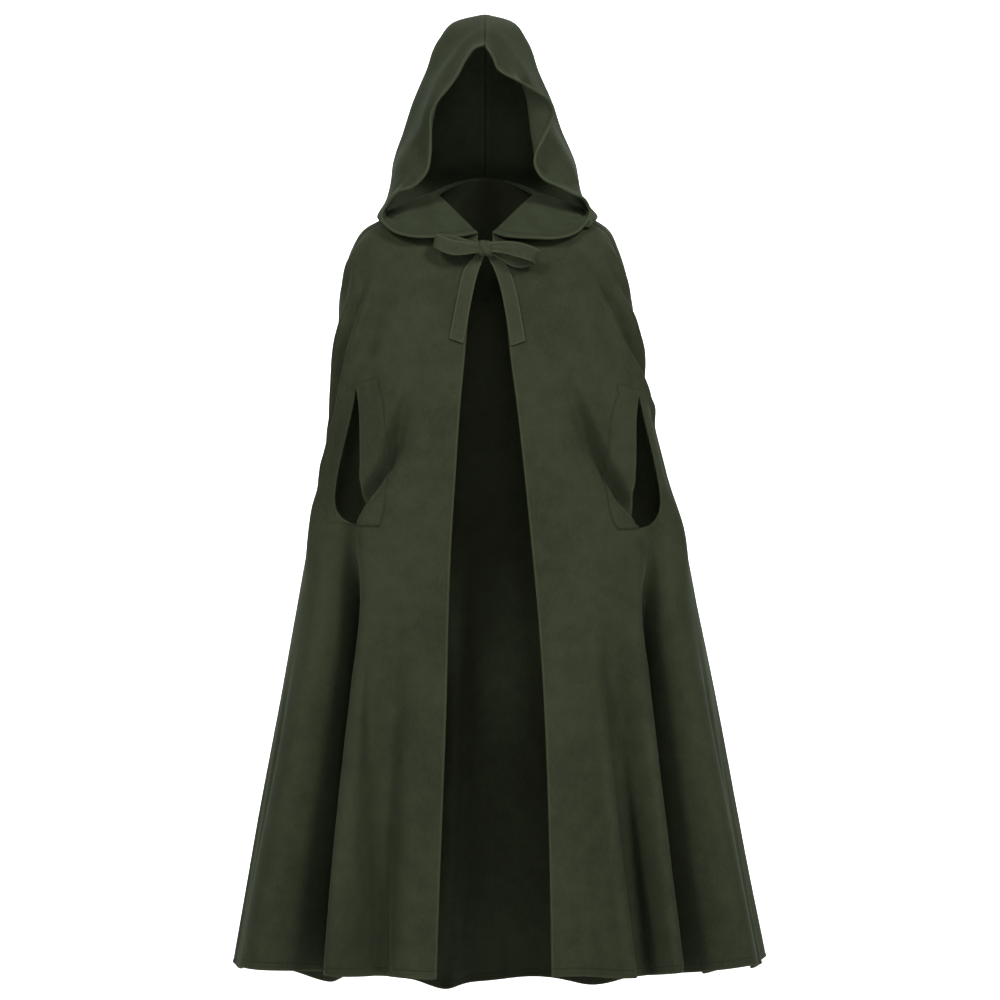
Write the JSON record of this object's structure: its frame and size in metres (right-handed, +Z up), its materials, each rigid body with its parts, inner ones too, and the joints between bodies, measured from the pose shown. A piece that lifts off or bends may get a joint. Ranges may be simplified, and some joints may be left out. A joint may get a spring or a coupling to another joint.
{
  "type": "hooded wool cloak",
  "caption": "Full-length open-front cloak in plain dark green wool, with a deep hood, arm slits with stitched welts, and a cloth tie bow at the neck.",
  "frame": {"origin": "centre of the neck opening at the height of the side neck points, where the wearer holds the cloak up", "axes": "+Z up, -Y to the front of the wearer, -X to the wearer's right"},
  "size_m": [0.9, 0.5065, 1.6757],
  "materials": {
    "back_wool": "milled wool with a soft nap",
    "front_wool": "milled wool with a soft nap",
    "hood_wool": "milled wool with a soft nap",
    "tie_wool": "milled wool with a soft nap"
  },
  "bodies": {
    "root": {"back_panel": "back_wool", "front_panel_right": "front_wool", "front_panel_left": "front_wool", "slit_welt_right": "front_wool", "slit_welt_left": "front_wool", "hood_half_right": "hood_wool", "hood_half_left": "hood_wool", "tie_root_right": "tie_wool", "tie_root_left": "tie_wool", "tie_knot": "tie_wool", "tie_loop_right": "tie_wool", "tie_loop_left": "tie_wool", "tie_tail_right": "tie_wool", "tie_tail_left": "tie_wool"}
  },
  "joints": []
}
